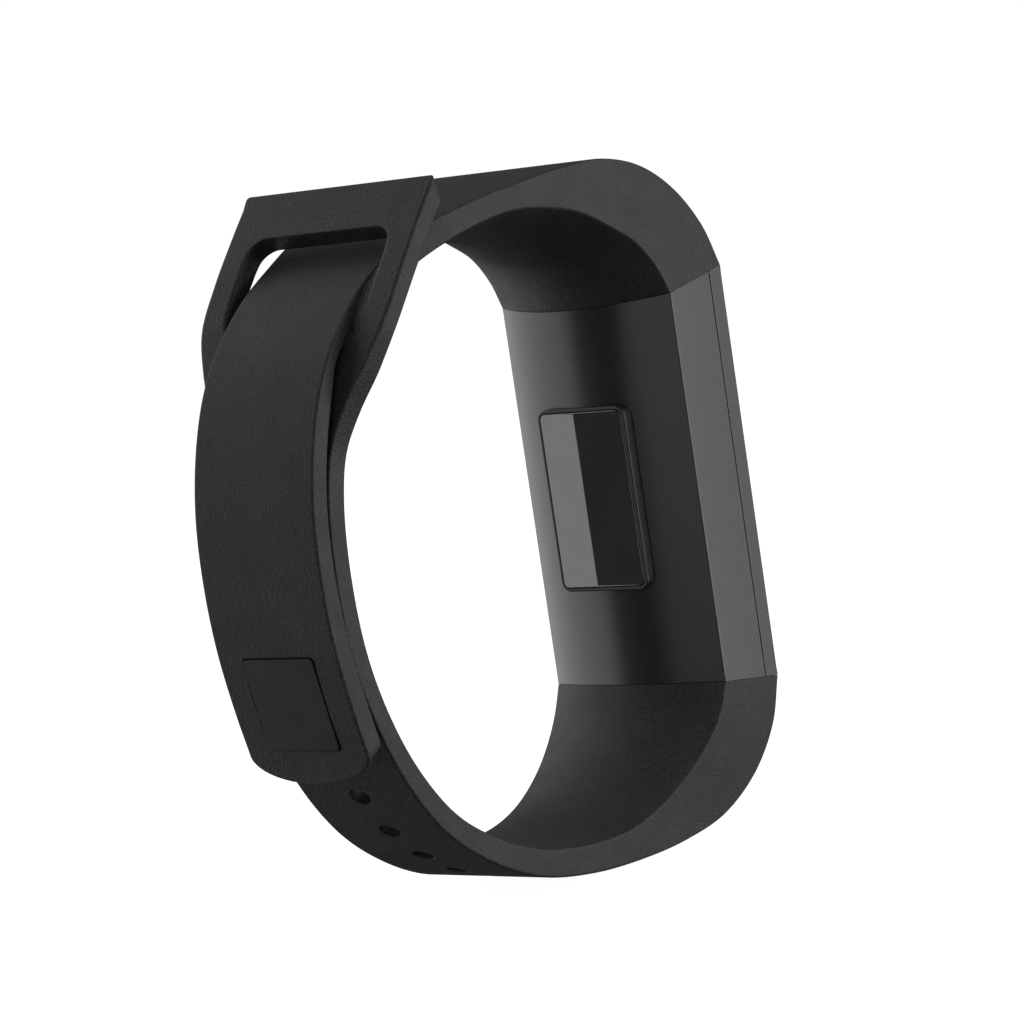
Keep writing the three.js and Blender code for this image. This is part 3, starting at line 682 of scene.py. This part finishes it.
class Shader:
    """Node tree of one material, with short ways to add noise, ramps and bumps."""

    def __init__(self, name, metallic=0.0, ior=1.45, specular=0.5, coat=0.0):
        self.material = bpy.data.materials.new(name)
        self.material.use_nodes = True
        self.nodes = self.material.node_tree.nodes
        self.links = self.material.node_tree.links
        self.bsdf = self.nodes["Principled BSDF"]
        self.bsdf.inputs["Metallic"].default_value = metallic
        self.bsdf.inputs["IOR"].default_value = ior
        self.bsdf.inputs["Specular IOR Level"].default_value = specular
        self.bsdf.inputs["Coat Weight"].default_value = coat
        self.where = self.nodes.new("ShaderNodeTexCoord").outputs["Object"]

    def stretched(self, scale):
        node = self.nodes.new("ShaderNodeMapping")
        node.inputs["Scale"].default_value = scale
        self.links.new(self.where, node.inputs["Vector"])
        return node.outputs["Vector"]

    def noise(self, size_mm, detail=2.0, rough=0.55, where=None):
        node = self.nodes.new("ShaderNodeTexNoise")
        node.inputs["Scale"].default_value = 1 / (size_mm * MM)
        node.inputs["Detail"].default_value = detail
        node.inputs["Roughness"].default_value = rough
        self.links.new(where or self.where, node.inputs["Vector"])
        return node.outputs["Fac"]

    def spread(self, value, low, high, start=0.35, stop=0.65):
        node = self.nodes.new("ShaderNodeMapRange")
        node.inputs["From Min"].default_value = start
        node.inputs["From Max"].default_value = stop
        node.inputs["To Min"].default_value = low
        node.inputs["To Max"].default_value = high
        self.links.new(value, node.inputs["Value"])
        return node.outputs["Result"]

    def mixed(self, a, b, share):
        node = self.nodes.new("ShaderNodeMix")
        node.inputs["Factor"].default_value = share
        self.links.new(a, node.inputs["A"])
        self.links.new(b, node.inputs["B"])
        return node.outputs["Result"]

    def colour(self, value, dark, light, start=0.35, stop=0.65):
        node = self.nodes.new("ShaderNodeMix")
        node.data_type = "RGBA"
        factor, _, _, _, _, _, a, b = node.inputs[:8]
        a.default_value = (*dark, 1)
        b.default_value = (*light, 1)
        self.links.new(self.spread(value, 0, 1, start, stop), factor)
        self.links.new(node.outputs[2], self.bsdf.inputs["Base Color"])

    def rough(self, value, low, high):
        self.links.new(self.spread(value, low, high), self.bsdf.inputs["Roughness"])

    def bump(self, value, height_mm):
        node = self.nodes.new("ShaderNodeBump")
        node.inputs["Distance"].default_value = height_mm * MM
        self.links.new(value, node.inputs["Height"])
        self.links.new(node.outputs["Normal"], self.bsdf.inputs["Normal"])


def moulded(name, dark, light, rough, grain_mm, grain_height, **sockets):
    """Moulded rubber or plastic: an even colour that wanders a little, with a fine grain in the surface."""
    shader = Shader(name, **sockets)
    grain = shader.noise(grain_mm, 1.0, 0.5)
    patch = shader.noise(PATCH_MM, 3.0, 0.5)
    shader.colour(shader.mixed(grain, patch, 0.2), dark, light)
    shader.rough(shader.mixed(grain, patch, 0.6), *rough)
    shader.bump(grain, grain_height)
    return shader.material


def glassy(name, colour, smear, **sockets):
    """Dark polished glass with faint smears in its gloss."""
    shader = Shader(name, **sockets)
    smears = shader.noise(SMEAR_MM, 3.0, 0.5)
    shader.colour(smears, colour, tuple(c * 1.25 for c in colour))
    shader.rough(smears, smear * 0.6, smear * 1.6)
    return shader.material


def metal(name, dark, light, rough, line_mm):
    """Machined metal with fine turning or brushing lines."""
    shader = Shader(name, metallic=1.0)
    lines = shader.noise(line_mm, 3.0, 0.6, shader.stretched((1, 1, 8)))
    shader.colour(lines, dark, light)
    shader.rough(lines, *rough)
    shader.bump(lines, 0.004)
    return shader.material


def circuit(name):
    """Solder mask over copper traces."""
    shader = Shader(name, coat=0.2)
    bricks = shader.nodes.new("ShaderNodeTexBrick")
    bricks.inputs["Scale"].default_value = 900
    bricks.inputs["Mortar Size"].default_value = 0.09
    bricks.inputs["Color1"].default_value = (0.2, 0.2, 0.2, 1)
    bricks.inputs["Color2"].default_value = (0.35, 0.35, 0.35, 1)
    bricks.inputs["Mortar"].default_value = (0.9, 0.9, 0.9, 1)
    shader.links.new(shader.where, bricks.inputs["Vector"])
    grain = shader.noise(0.3)
    traces = shader.mixed(bricks.outputs["Color"], grain, 0.25)
    shader.colour(traces, (0.008, 0.06, 0.034), (0.03, 0.16, 0.08), 0.2, 0.75)
    shader.rough(grain, 0.3, 0.45)
    shader.bump(bricks.outputs["Fac"], 0.02)
    return shader.material


def foil(name):
    """Battery pouch: wrinkled laminated foil."""
    shader = Shader(name, metallic=0.9)
    wrinkles = shader.noise(1.6, 4.0, 0.6)
    shader.colour(wrinkles, (0.42, 0.43, 0.44), (0.6, 0.61, 0.62))
    shader.rough(wrinkles, 0.25, 0.42)
    shader.bump(wrinkles, 0.12)
    return shader.material


LOOKS = {
    "strap_rubber": moulded(
        "silicone", (0.0128, 0.0128, 0.0131), (0.035, 0.035, 0.036), (0.52, 0.64), 0.19, 0.055, specular=0.3),
    "case_plastic": moulded(
        "case_shell", (0.021, 0.021, 0.0217), (0.026, 0.026, 0.0267), (0.27, 0.29), 0.12, 0.003),
    "clasp_plastic": moulded(
        "clasp_plate", (0.0095, 0.0095, 0.0098), (0.0115, 0.0115, 0.0118), (0.5, 0.58), 0.12, 0.005,
        specular=0.3),
    "bezel_plastic": moulded(
        "bezel_gloss", (0.010, 0.010, 0.0105), (0.014, 0.014, 0.0145), (0.36, 0.44), 0.3, 0.002),
    "dark_glass": glassy("dark_glass", (0.015, 0.015, 0.0155), smear=0.005, ior=1.84),
    "display_black": glassy("display_black", (0.006, 0.006, 0.008), smear=0.08),
    "steel": metal("machined_steel", (0.36, 0.36, 0.37), (0.52, 0.52, 0.53), (0.22, 0.36), 0.25),
    "seal_rubber": moulded("seal", (0.014, 0.014, 0.014), (0.024, 0.024, 0.024), (0.6, 0.75), 0.25, 0.02),
    "foam": moulded("foam", (0.012, 0.012, 0.012), (0.028, 0.028, 0.028), (0.85, 0.98), 0.16, 0.09),
    "circuit_board": circuit("circuit_board"),
    "chip_plastic": moulded(
        "chip_body", (0.010, 0.010, 0.012), (0.017, 0.017, 0.019), (0.42, 0.55), 0.14, 0.01),
    "led_resin": moulded("led_resin", (0.20, 0.52, 0.28), (0.30, 0.66, 0.38), (0.12, 0.22), 0.5, 0.004),
    "gold_contact": metal("gold_plate", (0.50, 0.30, 0.07), (0.66, 0.42, 0.12), (0.2, 0.32), 0.2),
    "battery_foil": foil("battery_foil"),
    "flex_film": moulded("flex_film", (0.33, 0.10, 0.018), (0.45, 0.16, 0.035), (0.25, 0.36), 0.6, 0.006),
}

# ------------------------------------------------------------------ what rides on what


def dress(obj, slot):
    """Gives a piece the look of its slot, and no other."""
    obj.data.materials.clear()
    obj.data.materials.append(LOOKS[slot])


# Every CAD node wears the look of its slot. The ones inside the case stay in the scene.
for part in frame["record"]["subparts"]:
    node = frame["nodes"][part["node"]]
    for slot in node.material_slots:
        slot.material = LOOKS[part["material_slot"]]
    if not node.material_slots:
        node.data.materials.append(LOOKS[part["material_slot"]])

RIDERS = [
    (lower_skin, "band", "strap_rubber", ("lower_strap",)),
    (rear_skin, "band", "case_plastic", ("rear_case",)),
    (front_skin, "band", "case_plastic", ("front_cover",)),
    (lens_skin, "band", "dark_glass", ("display_lens",)),
    (bezel_skin, "band", "bezel_plastic", ("sensor_bezel",)),
    (window_skin, "band", "dark_glass", ("sensor_window",)),
    (plate_skin, "tail_tip", "clasp_plastic", ("clasp_plate",)),
    (peg_skin, "tail_tip", "steel", ("clasp_peg",)),
]
for obj, body, slot, nodes in RIDERS:
    dress(obj, slot)
    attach(obj, body)
    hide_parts(*nodes)


# Lengths of tail across the two hinge lines, left on no body. The second stops short of the plate's pocket.
dress(upper_skin, "strap_rubber")
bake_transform(upper_skin)
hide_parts("upper_strap", "tail_flap")
dress(tip_skin, "strap_rubber")
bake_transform(tip_skin)
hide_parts("tail_tip")

# ------------------------------------------------------------------ camera

AZIMUTH, ELEVATION, ROLL = math.radians(-52.47), math.radians(7.38), math.radians(-8.52)
CAMERA_PLACE = (-254.9, -202.7, 44.4)
FOCAL_LENGTH = 126.56

back = Vector((
    math.sin(AZIMUTH) * math.cos(ELEVATION), -math.cos(AZIMUTH) * math.cos(ELEVATION),
    math.sin(ELEVATION)))
right = (-back).cross(Vector((0, 0, 1))).normalized()
up = right.cross(-back)
camera_data = bpy.data.cameras.new("camera")
camera_data.sensor_width = 36
camera_data.lens = FOCAL_LENGTH
camera_data.clip_start = 0.01
camera_data.clip_end = 50
camera = bpy.data.objects.new("camera", camera_data)
turned_right = right * math.cos(ROLL) + up * math.sin(ROLL)
turned_up = up * math.cos(ROLL) - right * math.sin(ROLL)
camera.matrix_world = Matrix.Translation(Vector(CAMERA_PLACE) * MM) @ Matrix(
    (turned_right, turned_up, back)).transposed().to_4x4()
bpy.context.scene.collection.objects.link(camera)
bpy.context.scene.camera = camera

# ------------------------------------------------------------------ floor, light and backdrop


def panel(name, place, aim, size, radiance):
    """A soft rectangular light at place, facing aim, unseen by the camera."""
    data = bpy.data.lights.new(name, "AREA")
    data.shape = "RECTANGLE"
    data.size, data.size_y = size
    data.energy = radiance * math.pi * size[0] * size[1]
    lamp = bpy.data.objects.new(name, data)
    look = (Vector(aim) - Vector(place)).to_track_quat("-Z", "Y")
    lamp.matrix_world = Matrix.Translation(Vector(place)) @ look.to_matrix().to_4x4()
    lamp.visible_camera = False
    bpy.context.scene.collection.objects.link(lamp)


FLOOR_REACH = 6.0
FLOOR_GAP = 0.0002

floor_mesh = bpy.data.meshes.new("floor")
floor_z = cad_box[0].z - FLOOR_GAP
floor_mesh.from_pydata(
    [(-FLOOR_REACH, -FLOOR_REACH, floor_z), (FLOOR_REACH, -FLOOR_REACH, floor_z),
     (FLOOR_REACH, FLOOR_REACH, floor_z), (-FLOOR_REACH, FLOOR_REACH, floor_z)], [], [(0, 1, 2, 3)])
floor = bpy.data.objects.new("floor", floor_mesh)
bpy.context.scene.collection.objects.link(floor)
floor_look = bpy.data.materials.new("pale_floor")
floor_look.use_nodes = True
tree = floor_look.node_tree
shade = tree.nodes["Principled BSDF"]
shade.inputs["Base Color"].default_value = (0.3, 0.3, 0.3, 1)
shade.inputs["Roughness"].default_value = 0.9
shade.inputs["Specular IOR Level"].default_value = 0.1
shade.inputs["Emission Color"].default_value = (1, 1, 1, 1)
# The floor's glow and the white backdrop are for the camera only and don't light the part.
path = tree.nodes.new("ShaderNodeLightPath")
glow = tree.nodes.new("ShaderNodeMath")
glow.operation = "MULTIPLY"
glow.inputs[1].default_value = 0.97
tree.links.new(path.outputs["Is Camera Ray"], glow.inputs[0])
tree.links.new(glow.outputs[0], shade.inputs["Emission Strength"])
floor_mesh.materials.append(floor_look)
# Left out of glossy reflections, so that the far panel shows in the sensor glass.
floor.visible_glossy = False

world = bpy.data.worlds.new("studio")
bpy.context.scene.world = world
world.use_nodes = True
sky = world.node_tree
ambient = sky.nodes["Background"]
ambient.inputs["Color"].default_value = (1, 1, 1, 1)
ambient.inputs["Strength"].default_value = 0.12
backdrop = sky.nodes.new("ShaderNodeBackground")
backdrop.inputs["Color"].default_value = (1, 1, 1, 1)
backdrop.inputs["Strength"].default_value = 1.0
chooser = sky.nodes.new("ShaderNodeMixShader")
seen = sky.nodes.new("ShaderNodeLightPath")
sky.links.new(seen.outputs["Is Camera Ray"], chooser.inputs["Fac"])
sky.links.new(ambient.outputs[0], chooser.inputs[1])
sky.links.new(backdrop.outputs[0], chooser.inputs[2])
sky.links.new(chooser.outputs[0], sky.nodes["World Output"].inputs["Surface"])

# The far panel's edge shows as the straight edge of the reflection in the sensor glass.
FAR_EDGE, FAR_END, FAR_Y = -0.589, 0.25, 0.45
far_middle = (FAR_EDGE + FAR_END) / 2
panel("light_far_side", (far_middle, FAR_Y, 0.1), (far_middle, 0, 0.1), (FAR_END - FAR_EDGE, 0.9), 1.6)
panel("light_near_side", (0.21, -0.41, 0.02), (0, 0, 0), (0.5, 0.5), 3.8)
panel("light_camera_side", (-1.2, -0.48, 0.15), (0, 0, 0), (0.9, 0.8), 1.0)
panel("light_top", (0, 0, 0.6), (0, 0, 0), (0.8, 0.8), 0.4)

bpy.context.scene.view_settings.view_transform = "Standard"
bpy.context.scene.view_settings.look = "None"
